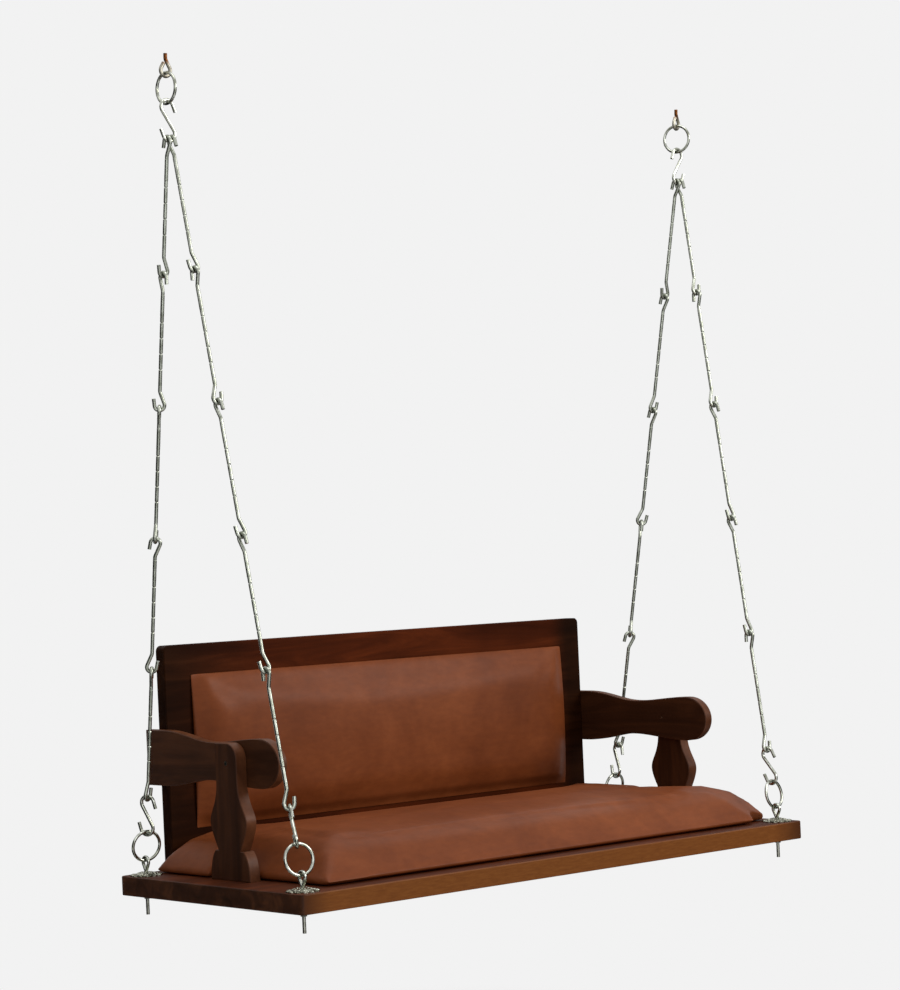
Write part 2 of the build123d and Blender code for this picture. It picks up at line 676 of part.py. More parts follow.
def back_pad():
    """A domed pad on the front of the backrest."""
    levels = [
        (0, 0),
        (PAD_EDGE, 0),
        (PAD_SHOULDER_HEIGHT, PAD_SHOULDER),
        (PAD_CROWN, PAD_CREST),
    ]
    middle = (PAD_BOTTOM + PAD_TOP) / 2
    sections = [
        Plane((0, BACK_FRONT_Y - SEAT_GAP - out, middle), x_dir=(1, 0, 0), z_dir=(0, -1, 0))
        * Rectangle(PAD_WIDTH - 2 * inset, PAD_TOP - PAD_BOTTOM - 2 * inset)
        for out, inset in levels
    ]
    return loft(sections, ruled=True)


# ------------------------------------------------------------------ the assembly
def group(part, places):
    """One node of identical separate solids."""
    return Compound([place * part for place in places])


def seat_nodes():
    nodes = {
        "seat_board": seat_board(),
        "backrest_board": backrest_board(),
        "back_pad": back_pad(),
        "seat_cushion": seat_cushion(),
        "back_screws": group(screw(BACK_SCREW_LENGTH), back_screw_places()),
        "post_screws": group(screw(BACK_SCREW_LENGTH), post_screw_places()),
        "arm_screws": group(screw(ARM_SCREW_LENGTH), arm_screw_places()),
        "rail_dowels": group(pin(DOWEL_DIAMETER / 2, 0, DOWEL_LENGTH), dowel_places()),
    }
    under = [place * Pos(0, 0, -BOARD_THICKNESS) for _, place in bolt_places()]
    nodes["washers"] = group(washer(), under)
    nodes["nuts"] = group(hex_nut(), [place * Pos(0, 0, -WASHER_THICKNESS) for place in under])
    for side, sign in SIDES.items():
        nodes[f"arm_rail_{side}"] = arm_rail(sign)
        nodes[f"arm_post_{side}"] = arm_post(sign)
    for corner, place in bolt_places():
        nodes[f"plate_{corner}"] = place * rosette()
        nodes[f"eyebolt_{corner}"] = place * eyebolt()
    return nodes


def strand_nodes(side, end):
    """The ring, S-hook and rods of one strand."""
    corner = f"{end}_{side}"
    frame = strand_frame(SIDES[side], ENDS[end])
    joints = JOINTS[corner]
    low_turns = [turn + 90 - 90 * tail for tail, _, turn in joints]
    high_turns = [turn + 90 * tail for _, tail, turn in joints]
    ring_turn = Rot(0, 0, RING_TURN[corner])
    s_turn = Rot(0, 0, high_turns[-1])
    nodes = {
        f"ring_{corner}": frame * Pos(0, 0, RING_CENTER) * ring_turn * ring(),
        f"s_hook_{corner}": frame * Pos(0, 0, S_LOW_CROWN) * s_turn * s_hook(),
    }
    for k in range(ROD_COUNT):
        z = LAST_ROD + (ROD_COUNT - 1 - k) * ROD_PITCH
        high_turn = high_turns[k - 1] if k else 90 * ENDS[end]
        nodes[f"rod_{corner}_{k + 1}"] = frame * Pos(0, 0, z) * rod(low_turns[k], high_turn)
    return nodes


def hanger_nodes():
    nodes = {}
    for side, sx in SIDES.items():
        for end in ENDS:
            nodes.update(strand_nodes(side, end))
        turn = Rot(0, 0, 0 if sx < 0 else 180)
        line = lean_out(sx)
        nodes[f"top_s_hook_{side}"] = line * Pos(0, 0, -TOP_STACK) * turn * s_hook()
        ring_turn = Rot(0, 0, 90 + TOP_RING_TURN[side])
        top_ring = Pos(sx * HOOK_SPACING / 2, 0, TOP_RING_Z) * ring_turn * ring()
        nodes[f"top_ring_{side}"] = top_ring
    return nodes


def main():
    os.makedirs("parts", exist_ok=True)
    nodes = {name: hang(shape) for name, shape in (seat_nodes() | hanger_nodes()).items()}
    for side, sx in SIDES.items():
        nodes[f"ceiling_hook_{side}"] = ceiling_hook(sx, HOOK_TURN[side])
    for name, shape in nodes.items():
        export_step(shape, f"parts/{name}.step")


main()
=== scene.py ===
import json
import math

import bmesh
import bpy
from mathutils import Matrix, Vector


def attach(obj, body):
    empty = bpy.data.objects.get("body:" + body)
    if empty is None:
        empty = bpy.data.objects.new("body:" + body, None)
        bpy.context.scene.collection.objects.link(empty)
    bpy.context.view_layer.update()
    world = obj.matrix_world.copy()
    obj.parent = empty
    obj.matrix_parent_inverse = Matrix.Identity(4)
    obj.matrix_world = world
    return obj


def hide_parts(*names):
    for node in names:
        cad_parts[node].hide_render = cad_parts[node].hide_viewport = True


# A jhoola: a dark wooden swing seat with cognac leatherette cushions, hung on four strands of
# hooked steel rods. Everything is in metres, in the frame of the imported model: the origin is on
# the ceiling between the two hooks, +Y to the back of the seat, +Z up.

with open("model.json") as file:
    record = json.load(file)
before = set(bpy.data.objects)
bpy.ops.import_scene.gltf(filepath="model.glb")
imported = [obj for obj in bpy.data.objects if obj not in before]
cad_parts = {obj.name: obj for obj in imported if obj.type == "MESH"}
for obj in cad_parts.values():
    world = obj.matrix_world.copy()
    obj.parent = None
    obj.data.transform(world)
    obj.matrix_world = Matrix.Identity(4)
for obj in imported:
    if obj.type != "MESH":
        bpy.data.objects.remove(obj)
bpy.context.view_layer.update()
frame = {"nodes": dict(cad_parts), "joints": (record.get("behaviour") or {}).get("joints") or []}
NODES = frame["nodes"]
SIDES = ("left", "right")
ENDS = ("front", "rear")
CORNERS = [f"{end}_{side}" for side in SIDES for end in ENDS]
RODS_PER_STRAND = 5
MM = 0.001

# ---------------------------------------------------------------- the seat's own directions
hinge = Vector(next(j["axis"] for j in frame["joints"] if j["name"] == "seat_level"))
LEAN = math.atan2(-hinge.z, hinge.y)
LEAN_BACK = Matrix.Rotation(-LEAN, 4, "X")


def extent(node, turn=LEAN_BACK):
    """The lowest and highest corners of a CAD node, measured along turned directions."""
    back = turn.inverted()
    points = [back @ v.co for v in NODES[node].data.vertices]
    low = Vector([min(p[i] for p in points) for i in range(3)])
    high = Vector([max(p[i] for p in points) for i in range(3)])
    return low, high


board_low, board_high = extent("seat_board")
board_middle_y = (board_low.y + board_high.y) / 2
# From the seat's own frame, with its origin in the middle of the board's top face.
SEAT = LEAN_BACK @ Matrix.Translation((0, board_middle_y, board_high.z))
BOARD_HALF_DEPTH = (board_high.y - board_low.y) / 2
BOARD_HALF_LENGTH = (board_high.x - board_low.x) / 2
BOARD_THICKNESS = board_high.z - board_low.z


def seat_extent(node):
    """The lowest and highest corners of a CAD node in the seat's own frame."""
    return extent(node, SEAT)


# ---------------------------------------------------------------- making pieces
def add_object(name, mesh):
    piece = bpy.data.objects.new(name, mesh)
    bpy.context.scene.collection.objects.link(piece)
    return piece


def piece_from(name, shape, place=None, smooth_below=40):
    """Turns a bmesh into an object at the origin, with its place in its mesh."""
    if place is not None:
        bmesh.ops.transform(shape, matrix=place, verts=shape.verts)
    bmesh.ops.recalc_face_normals(shape, faces=shape.faces)
    mesh = bpy.data.meshes.new(name)
    shape.to_mesh(mesh)
    shape.free()
    mesh.shade_smooth()
    mesh.set_sharp_from_angle(angle=math.radians(smooth_below))
    return add_object(name, mesh)


def finish_piece(piece, body, material):
    piece.data.materials.clear()
    piece.data.materials.append(material)
    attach(piece, body)


def spin_profile(shape, profile, place, steps):
    """Adds a turned form: (radius, height) points spun about Z, then moved to its place."""
    points = [shape.verts.new((radius, 0, height)) for radius, height in profile]
    edges = [shape.edges.new(pair) for pair in zip(points, points[1:])]
    bmesh.ops.spin(
        shape,
        geom=points + edges,
        cent=(0, 0, 0),
        axis=(0, 0, 1),
        angle=math.tau,
        steps=steps,
        use_merge=True,
    )
    made = [v for v in shape.verts if not v.tag]
    bmesh.ops.remove_doubles(shape, verts=made, dist=1e-7)
    made = [v for v in shape.verts if not v.tag]
    bmesh.ops.transform(shape, matrix=place, verts=made)
    for v in made:
        v.tag = True


def ridges(root, crest, low, high, pitch):
    """A closed wavy profile between two heights: the thread or ribbing of a rod."""
    inside = root * 0.9
    profile = [(inside, low), (root, low)]
    count = int((high - low) / pitch)
    for k in range(count):
        z = low + k * pitch
        profile += [(crest, z + pitch / 2), (root, z + pitch)]
    profile += [(inside, profile[-1][1]), (inside, low)]
    return profile


# ---------------------------------------------------------------- materials
def start_material(name):
    material = bpy.data.materials.new(name)
    material.use_nodes = True
    nodes = material.node_tree.nodes
    shader = nodes["Principled BSDF"]
    place = nodes.new("ShaderNodeTexCoord")
    turn = nodes.new("ShaderNodeMapping")
    turn.vector_type = "TEXTURE"
    turn.inputs["Location"].default_value = SEAT.to_translation()
    turn.inputs["Rotation"].default_value = (-LEAN, 0, 0)
    material.node_tree.links.new(place.outputs["Object"], turn.inputs["Vector"])
    return material, shader, turn.outputs["Vector"]


def link(material, start, end):
    material.node_tree.links.new(start, end)


def stretched(material, vector, scale):
    mapping = material.node_tree.nodes.new("ShaderNodeMapping")
    mapping.inputs["Scale"].default_value = scale
    link(material, vector, mapping.inputs["Vector"])
    return mapping.outputs["Vector"]


def noise(material, vector, scale, detail=4.0, roughness=0.55, distortion=0.0):
    texture = material.node_tree.nodes.new("ShaderNodeTexNoise")
    texture.inputs["Scale"].default_value = scale
    texture.inputs["Detail"].default_value = detail
    texture.inputs["Roughness"].default_value = roughness
    texture.inputs["Distortion"].default_value = distortion
    link(material, vector, texture.inputs["Vector"])
    return texture.outputs["Fac"]


def ramp(material, factor, stops):
    node = material.node_tree.nodes.new("ShaderNodeValToRGB")
    elements = node.color_ramp.elements
    while len(elements) < len(stops):
        elements.new(0.5)
    for element, (position, color) in zip(elements, stops):
        element.position = position
        element.color = (*color, 1)
    link(material, factor, node.inputs["Fac"])
    return node.outputs["Color"]


def mix(material, kind, factor, a, b):
    node = material.node_tree.nodes.new("ShaderNodeMix")
    node.data_type = "RGBA"
    node.blend_type = kind
    for socket, value in (("Factor_Float", factor), ("A_Color", a), ("B_Color", b)):
        target = next(s for s in node.inputs if s.identifier == socket)
        if isinstance(value, bpy.types.NodeSocket):
            link(material, value, target)
        elif isinstance(value, tuple):
            target.default_value = (*value, 1)
        else:
            target.default_value = value
    return next(s for s in node.outputs if s.identifier == "Result_Color")


def spread(material, value, low, high):
    """Takes a 0 to 1 value to the range from low to high."""
    node = material.node_tree.nodes.new("ShaderNodeMapRange")
    node.inputs["To Min"].default_value = low
    node.inputs["To Max"].default_value = high
    link(material, value, node.inputs["Value"])
    return node.outputs["Result"]


def between(material, value, start, end):
    """0 where a value is at or before start, 1 at or past end."""
    node = material.node_tree.nodes.new("ShaderNodeMapRange")
    node.interpolation_type = "SMOOTHSTEP"
    node.inputs["From Min"].default_value = start
    node.inputs["From Max"].default_value = end
    link(material, value, node.inputs["Value"])
    return node.outputs["Result"]


def coordinate(material, vector, axis):
    node = material.node_tree.nodes.new("ShaderNodeSeparateXYZ")
    link(material, vector, node.inputs["Vector"])
    return node.outputs[axis]


def bump(material, shader, height, distance, strength=1.0):
    node = material.node_tree.nodes.new("ShaderNodeBump")
    node.inputs["Distance"].default_value = distance
    node.inputs["Strength"].default_value = strength
    link(material, height, node.inputs["Height"])
    link(material, node.outputs["Normal"], shader.inputs["Normal"])


def polished_wood(name, grain, tones, shine=0.13):
    """Dark stained hardwood with its grain along one axis: X, Y or Z."""
    material, shader, vector = start_material(name)
    scale = [9.0, 9.0, 9.0]
    scale["XYZ".index(grain)] = 1.0
    along = stretched(material, vector, scale)
    figure = noise(material, along, 3.2, detail=7, roughness=0.6, distortion=0.8)
    color = ramp(material, figure, list(zip((0.25, 0.48, 0.62, 0.8), tones)))
    patches = noise(material, vector, 5.5, detail=3)
    color = mix(material, "MULTIPLY", 0.55, color, ramp(
        material, patches, [(0.3, (0.5, 0.45, 0.42)), (0.7, (1.25, 1.2, 1.15))]))
    link(material, color, shader.inputs["Base Color"])
    pores = noise(material, along, 60, detail=2)
    link(material, spread(material, pores, 0.34, 0.5), shader.inputs["Roughness"])
    shader.inputs["Specular IOR Level"].default_value = shine
    bump(material, shader, pores, 0.05 * MM, 0.6)
    return material, shader, vector, color


def board_wood():
    """The plank: dark on top and at its ends, and honey-coloured along the middle of its front
    edge.
    """
    material, shader, vector, color = polished_wood("seat_board_wood", "X", DARK_TONES)
    red_top = mix(material, "MULTIPLY", 1.0, color, (1.5, 1.05, 0.8))
    top = between(material, coordinate(material, vector, "Z"), -0.6 * MM, -0.2 * MM)
    color = mix(material, "MIX", top, color, red_top)
    sawn = stretched(material, vector, (1, 1, 7))
    streaks = noise(material, sawn, 40, detail=9, roughness=0.7, distortion=0.3)
    honey = ramp(
        material,
        streaks,
        [
            (0.28, (0.135, 0.040, 0.0070)),
            (0.5, (0.175, 0.055, 0.0100)),
            (0.74, (0.215, 0.074, 0.0150)),
        ],
    )
    length = coordinate(material, vector, "X")
    # Honey along the middle of the front edge, fading to dark towards both ends.
    honey_span = mix(
        material,
        "MULTIPLY",
        1.0,
        between(material, length, -BOARD_HALF_LENGTH - 10 * MM, -BOARD_HALF_LENGTH + 70 * MM),
        between(material, length, BOARD_HALF_LENGTH + 10 * MM, BOARD_HALF_LENGTH - 90 * MM),
    )
    honey = mix(material, "MIX", honey_span, (0.060, 0.018, 0.005), honey)
    depth = coordinate(material, vector, "Y")
    edge = between(material, depth, -BOARD_HALF_DEPTH + 2.2 * MM, -BOARD_HALF_DEPTH + 0.6 * MM)
    link(material, mix(material, "MIX", edge, color, honey), shader.inputs["Base Color"])
    return material


def backrest_wood():
    """The backrest: redder in the middle, darker towards both ends, a painted shade where the arms
    and the pad shade it.
    """
    material, shader, vector, color = polished_wood("backrest_wood", "X", RED_TONES, shine=0.03)
    length = coordinate(material, vector, "X")
    # Painted shade: the colour darkens towards both ends of the backrest, where the arms and the
    # pad shade it.
    ends = mix(
        material,
        "MULTIPLY",
        1.0,
        between(material, length, -0.52, -0.20),
        between(material, length, 0.475, 0.41),
    )
    stain_and_shade = ramp(material, ends, [(0.0, (0.30, 0.42, 0.60)), (0.9, (1.15, 1.0, 0.95))])
    link(material, mix(material, "MULTIPLY", 1.0, color, stain_and_shade), shader.inputs["Base Color"])
    return material


def arm_wood(name, grain):
    """Arm planks: brown faces, with the sawn narrow edges rubbed red, and lighter with a painted
    highlight.
    """
    material, shader, vector, color = polished_wood(name, grain, DARK_TONES)
    facing = material.node_tree.nodes.new("ShaderNodeTexCoord").outputs["Normal"]
    sideways = material.node_tree.nodes.new("ShaderNodeMath")
    sideways.operation = "ABSOLUTE"
    link(material, coordinate(material, facing, "X"), sideways.inputs[0])
    narrow = between(material, sideways.outputs["Value"], 0.9, 0.5)
    # The narrow edges: rubbed red by wear, and lighter as a painted highlight.
    rubbed_and_highlit = ramp(
        material,
        noise(material, vector, 38, detail=5),
        [(0.3, (0.066, 0.021, 0.008)), (0.7, (0.132, 0.045, 0.018))],
    )
    link(material, mix(material, "MIX", narrow, color, rubbed_and_highlit), shader.inputs["Base Color"])
    return material


def leatherette(name):
    """Smooth cognac leatherette: cloudy colour, a fine pebble grain and a satin shine."""
    material, shader, vector = start_material(name)
    clouds = noise(material, vector, 7.0, detail=6, roughness=0.62, distortion=0.3)
    color = ramp(
        material,
        clouds,
        [
            (0.28, (0.138, 0.033, 0.0085)),
            (0.5, (0.182, 0.046, 0.0125)),
            (0.72, (0.230, 0.062, 0.0180)),
        ],
    )
    streaks = noise(material, stretched(material, vector, (14, 14, 40)), 3.0, detail=5)
    color = mix(material, "MULTIPLY", 0.35, color, ramp(
        material, streaks, [(0.3, (0.72, 0.7, 0.68)), (0.7, (1.18, 1.18, 1.15))]))
    link(material, color, shader.inputs["Base Color"])
    pebble = material.node_tree.nodes.new("ShaderNodeTexVoronoi")
    pebble.feature = "SMOOTH_F1"
    pebble.inputs["Scale"].default_value = 700
    link(material, vector, pebble.inputs["Vector"])
    bump(material, shader, pebble.outputs["Distance"], 0.12 * MM, 0.5)
    soft = noise(material, vector, 45, detail=4)
    link(material, spread(material, soft, 0.38, 0.5), shader.inputs["Roughness"])
    shader.inputs["Specular IOR Level"].default_value = 0.13
    return material


RUSTED = (-19 * MM, -9 * MM)  # below the ceiling: bare at the first height, rusty at the second


def bright_steel(name, color, dull, low, high, rust=False):
    """Plated steel wire with a drawn shine, dull patches and, on old hooks, brown rust."""
    material, shader, vector = start_material(name)
    drawn = noise(material, vector, 90, detail=2)
    stain_and_shade = noise(material, vector, 70, detail=3)
    tone = ramp(material, stain_and_shade, [(0.38, dull), (0.60, color)])
    link(material, spread(material, drawn, low, high), shader.inputs["Roughness"])
    if rust:
        scale = noise(material, vector, 420, detail=4)
        brown = ramp(material, scale, [(0.35, (0.05, 0.018, 0.007)), (0.65, (0.22, 0.075, 0.02))])
        height = material.node_tree.nodes.new("ShaderNodeTexCoord").outputs["Object"]
        height = coordinate(material, height, "Z")
        patch = between(material, height, *RUSTED)
        tone = mix(material, "MIX", patch, tone, brown)
    link(material, tone, shader.inputs["Base Color"])
    shader.inputs["Metallic"].default_value = 1.0
    bump(material, shader, noise(material, vector, 500, detail=2), 0.01 * MM, 0.1)
    return material


# From the darkest grain lines to the lightest.
DARK_TONES = (
    (0.022, 0.0075, 0.0035),
    (0.045, 0.0155, 0.0065),
    (0.075, 0.026, 0.010),
    (0.115, 0.042, 0.016),
)
RED_TONES = (
    (0.028, 0.0060, 0.0014),
    (0.056, 0.0120, 0.0026),
    (0.090, 0.0200, 0.0044),
    (0.135, 0.0330, 0.0078),
)

BOARD_WOOD = board_wood()
BACK_WOOD = backrest_wood()
RAIL_WOOD = arm_wood("arm_rail_wood", "Y")
POST_WOOD = arm_wood("arm_post_wood", "Z")
LEATHERETTE = leatherette("cognac_leatherette")
# Each steel: its bright colour, its dull colour, and its lowest and highest roughness.
ROD_STEEL = bright_steel("rod_steel", (0.44, 0.46, 0.40), (0.27, 0.285, 0.235), 0.22, 0.34)
HOOK_STEEL = bright_steel("hook_steel", (0.52, 0.535, 0.48), (0.30, 0.31, 0.25), 0.10, 0.2)
PLATE = bright_steel("pressed_plate", (0.42, 0.42, 0.35), (0.14, 0.14, 0.10), 0.14, 0.26)
FASTENER = bright_steel("zinc_fastener", (0.40, 0.39, 0.33), (0.16, 0.15, 0.12), 0.3, 0.5)
OLD_HOOK = bright_steel(
    "old_hook_steel", (0.42, 0.40, 0.33), (0.2, 0.18, 0.14), 0.3, 0.5, rust=True)
# Nearly black: painted shade in the arm screws' cross recess.
RECESS_SHADE = bright_steel("screw_recess_shade", (0.06, 0.055, 0.05), (0.03, 0.028, 0.025), 0.5, 0.7)


def dress_nodes():
    """Gives every CAD piece that stays its finish."""
    for name, node in NODES.items():
        if name == "seat_board":
            material = BOARD_WOOD
        elif name == "backrest_board":
            material = BACK_WOOD
        elif name.startswith("arm_rail"):
            material = RAIL_WOOD
        elif name.startswith("arm_post") or name == "rail_dowels":
            material = POST_WOOD
        elif name.startswith("ceiling_hook"):
            material = OLD_HOOK
        elif name.startswith("plate"):
            material = PLATE
        elif name in ("nuts", "washers") or name.endswith("screws"):
            material = FASTENER
        elif name in ("seat_cushion", "back_pad"):
            material = LEATHERETTE
        elif name.startswith("rod"):
            material = ROD_STEEL
        else:
            material = HOOK_STEEL
        node.data.materials.clear()
        node.data.materials.append(material)


# ---------------------------------------------------------------- the padded pieces
CLOTH_STEPS = 20
COVER_PRESSURE = 4
CUSHION_CELL = 7 * MM
CUSHION_FLAT_FOOT = 6 * MM  # up to this height the cushion rests flat on the board
CUSHION_GIVE = 5 * MM       # the furthest that its stuffing may push it out
CROWN_SINK = 9 * MM         # how much lower its crown is than the plain solid's
PAD_CELL = 6 * MM
PAD_FLAT_BACK = 6 * MM
PAD_GIVE = 6 * MM
PAD_FOOT_LIFT = 8 * MM      # the pad's foot draws up from the seat cushion
COVER_LAP = 1 * MM          # every cover starts this far inside the plain solid


def remade(piece, *steps):
    """Gives the piece its mesh after some modifiers: each step is a kind and its settings."""
    for kind, settings in steps:
        modifier = piece.modifiers.new("Step", kind)
        for key, value in settings.items():
            setattr(modifier, key, value)
    bpy.context.view_layer.update()
    evaluated = piece.evaluated_get(bpy.context.evaluated_depsgraph_get())
    mesh = bpy.data.meshes.new_from_object(evaluated)
    piece.modifiers.clear()
    old = piece.data
    piece.data = mesh
    bpy.data.meshes.remove(old)


def stuff(piece, is_held, pressure, most):
    """Blows the cover up over its foam: cloth under pressure, moved outwards by at most so much."""
    rest = [(v.co.copy(), v.normal.copy()) for v in piece.data.vertices]
    held = piece.vertex_groups.new(name="held")
    held.add([i for i, (co, _) in enumerate(rest) if is_held(co)], 1.0, "REPLACE")
    cloth = piece.modifiers.new("Stuffing", "CLOTH")
    cloth.settings.vertex_group_mass = "held"
    cloth.settings.use_pressure = True
    cloth.settings.uniform_pressure_force = pressure
    cloth.settings.effector_weights.gravity = 0
    scene = bpy.context.scene
    for step in range(1, CLOTH_STEPS + 1):
        scene.frame_set(step)
    evaluated = piece.evaluated_get(bpy.context.evaluated_depsgraph_get())
    blown = [v.co.copy() for v in evaluated.data.vertices]
    piece.modifiers.clear()
    piece.vertex_groups.clear()
    scene.frame_set(1)
    for vertex, (old, outward), new in zip(piece.data.vertices, rest, blown):
        vertex.co = old + outward * max(0.0, min(most, (new - old).dot(outward)))


def relax(piece, freedom, rounds, keep_size=False):
    """Smooths a cover as far as freedom says, 0 to 1, with a step back out if it keeps its size."""
    group = piece.vertex_groups.new(name="free")
    for vertex in piece.data.vertices:
        group.add([vertex.index], max(0.0, min(1.0, freedom(vertex.co))), "REPLACE")
    steps = [("SMOOTH", {"factor": 0.5, "iterations": 2, "vertex_group": "free"})]
    if keep_size:
        steps.append(("SMOOTH", {"factor": -0.53, "iterations": 2, "vertex_group": "free"}))
    remade(piece, *steps * rounds)
    piece.vertex_groups.clear()


def cover_from(node, name, cell, drawn_in):
    """A cover's start: the plain solid brought upright, remeshed and drawn in."""
    cover = add_object(name, NODES[node].data.copy())
    cover.data.materials.clear()
    cover.data.transform(SEAT.inverted())
    remade(cover, ("REMESH", {"mode": "VOXEL", "voxel_size": cell}))
    normals = [v.normal.copy() for v in cover.data.vertices]
    for vertex, normal in zip(cover.data.vertices, normals):
        vertex.co -= normal * drawn_in(vertex.co)
    return cover


def grade(value, start, end):
    """0 at start, 1 at end, eased between."""
    share = max(0.0, min(1.0, (value - start) / (end - start)))
    return share * share * (3 - 2 * share)


def fill_corner(cover, side, post_face):
    """Fills the fold between the cushion's body and a corner squeezed out past an arm post."""
    end = math.copysign(1, post_face)
    past_post = end * post_face + 3 * MM
    shell = bmesh.new()
    for vertex in cover.data.vertices:
        if side * vertex.co.x > 0.30 and end * vertex.co.y > past_post:
            shell.verts.new(vertex.co)
    bmesh.ops.convex_hull(shell, input=shell.verts[:])
    mesh = bpy.data.meshes.new("corner_shell")
    shell.to_mesh(mesh)
    shell.free()
    hull = add_object("corner_shell", mesh)
    bpy.context.view_layer.update()
    outward = Vector((side, end, 1.2)).normalized()
    for vertex in cover.data.vertices:
        co = vertex.co
        share = grade(side * co.x, 0.36, 0.42) * grade(co.z, 6 * MM, 14 * MM)
        share *= grade(end * co.y, past_post, past_post + 19 * MM)
        if share > 0:
            hit, place, _, _ = hull.ray_cast(co, outward, distance=40 * MM)
            if hit:
                vertex.co = co + (place - co) * share
    bpy.data.objects.remove(hull)
    bpy.data.meshes.remove(mesh)


def seat_cushion():
    """The long seat cushion, low at its edges, with two corners squeezed out past the arms."""
    low, high = seat_extent("seat_cushion")
    left_post_rear = seat_extent("arm_post_left")[1].y
    right_post_front = seat_extent("arm_post_right")[0].y

    def freedom(co):
        return (co.z - CUSHION_FLAT_FOOT) / (16 * MM)

    def drawn_in(co):
        on_crown = grade(co.z, 50 * MM, 80 * MM) * grade(abs(co.x), 0.50, 0.36)
        return COVER_LAP + CROWN_SINK * on_crown

    def front_left(co):
        return freedom(co) * grade(-co.x, 0.36, 0.44) * grade(-co.y, 0, 0.06)

    cushion = cover_from("seat_cushion", "seat_cushion_cover", CUSHION_CELL, drawn_in)
    relax(cushion, freedom, 25, keep_size=True)
    relax(cushion, front_left, 10)
    stuff(cushion, lambda co: co.z < CUSHION_FLAT_FOOT, COVER_PRESSURE, CUSHION_GIVE)
    fill_corner(cushion, 1, right_post_front)
    fill_corner(cushion, -1, left_post_rear)
    relax(cushion, freedom, 12, keep_size=True)
    for vertex in cushion.data.vertices:
        vertex.co.x = max(low.x, min(high.x, vertex.co.x))
        vertex.co.y = max(low.y, min(high.y, vertex.co.y))
        vertex.co.z = max(low.z, vertex.co.z)
    return cushion


def back_pad():
    """The flat-backed pad on the backrest, domed towards the sitter and pinched at its corners."""
    low, high = seat_extent("back_pad")
    middle_z = (low.z + high.z) / 2
    half_height = (high.z - low.z) / 2

    def freedom(co):
        return (high.y - co.y - PAD_FLAT_BACK) / (9 * MM)

    pad = cover_from("back_pad", "back_pad_cover", PAD_CELL, lambda co: COVER_LAP)
    relax(pad, freedom, 12)
    stuff(pad, lambda co: co.y > high.y - 5 * MM, COVER_PRESSURE, PAD_GIVE)
    relax(pad, freedom, 12)
    for vertex in pad.data.vertices:
        at_side = grade(abs(vertex.co.x), high.x - 34 * MM, high.x - 2 * MM)
        up = (vertex.co.z - middle_z) / half_height
        at_foot = grade(vertex.co.z, low.z + 24 * MM, low.z + 2 * MM)
        pinch = (1 - 0.8 * at_side * up * up) * (1 - 0.7 * at_foot)
        vertex.co.y = high.y - max(0.0, high.y - vertex.co.y) * pinch
        vertex.co.z += PAD_FOOT_LIFT * grade(vertex.co.z, low.z + 90 * MM, low.z)
    return pad


def settle_cover(cover, node):
    """Puts a finished cover on the leaning seat in place of its plain solid."""
    cover.data.transform(SEAT)
    cover.data.shade_smooth()
    finer = cover.modifiers.new("Finer", "SUBSURF")
    finer.levels = 1
    finer.render_levels = 1
    finish_piece(cover, "seat", LEATHERETTE)
    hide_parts(node)


# ---------------------------------------------------------------- steel details
RIB_HEIGHT = 0.28 * MM
RIB_PITCH = 1.75 * MM
RIBS_FROM, RIBS_TO = 37 * MM, 72 * MM  # down the shaft from the upper crown
THREAD_PITCH = 1 * MM
PLATE_PETALS = 12


def rod_line(corner, number):
    """The place of a rod's upper crown, turned so that +Z is down its shaft, and its radius."""
    first = middle_of(f"rod_{corner}_1")
    last = middle_of(f"rod_{corner}_{RODS_PER_STRAND}")
    down = (last - first).normalized()
    turn = down.to_track_quat("Z", "X").to_matrix().to_4x4()
    back = turn.inverted()
    points = [back @ v.co for v in NODES[f"rod_{corner}_{number}"].data.vertices]
    top = min(p.z for p in points)
    end = max(p.z for p in points)
    shaft = [p for p in points if abs(p.z - (top + end) / 2) < 0.2 * (end - top)]
    x = (min(p.x for p in shaft) + max(p.x for p in shaft)) / 2
    y = (min(p.y for p in shaft) + max(p.y for p in shaft)) / 2
    radius = (max(p.x for p in shaft) - min(p.x for p in shaft)) / 2
    return turn @ Matrix.Translation((x, y, top + radius)), radius


def middle_of(node):
    points = [v.co for v in NODES[node].data.vertices]
    return sum(points, Vector()) / len(points)


def rod_ribs(side):
    """The fine ribbing rolled into each rod below its upper hook."""
    shape = bmesh.new()
    for end in ENDS:
        for number in range(1, RODS_PER_STRAND + 1):
            place, radius = rod_line(f"{end}_{side}", number)
            profile = ridges(radius, radius + RIB_HEIGHT, RIBS_FROM, RIBS_TO, RIB_PITCH)
            spin_profile(shape, profile, place, steps=16)
    piece = piece_from(f"rod_ribs_{side}", shape, smooth_below=75)
    finish_piece(piece, f"{side}_hanger", ROD_STEEL)


def bolt_place(corner):
    """The middle of an eyebolt at the board's top face, in the seat's own frame."""
    low, high = seat_extent(f"plate_{corner}")
    return Matrix.Translation(((low.x + high.x) / 2, (low.y + high.y) / 2, 0))


def stud_threads():
    """The threads of the eyebolts below the board."""
    low, high = seat_extent("eyebolt_front_left")
    nut_low, _ = seat_extent("nuts")
    radius = (high.x - low.x) / 2
    root, crest = radius - 0.1 * MM, radius + 0.2 * MM
    shape = bmesh.new()
    for corner in CORNERS:
        profile = ridges(root, crest, low.z + 0.6 * MM, nut_low.z, THREAD_PITCH)
        spin_profile(shape, profile, bolt_place(corner), steps=14)
    piece = piece_from("eyebolt_threads", shape, SEAT, smooth_below=75)
    finish_piece(piece, "seat", FASTENER)


def raised_drop(shape, place, size):
    """A small raised drop, petal or bead on a pressed plate."""
    scale = Matrix.Diagonal((*size, 1))
    bmesh.ops.create_uvsphere(shape, u_segments=12, v_segments=8, radius=1, matrix=place @ scale)


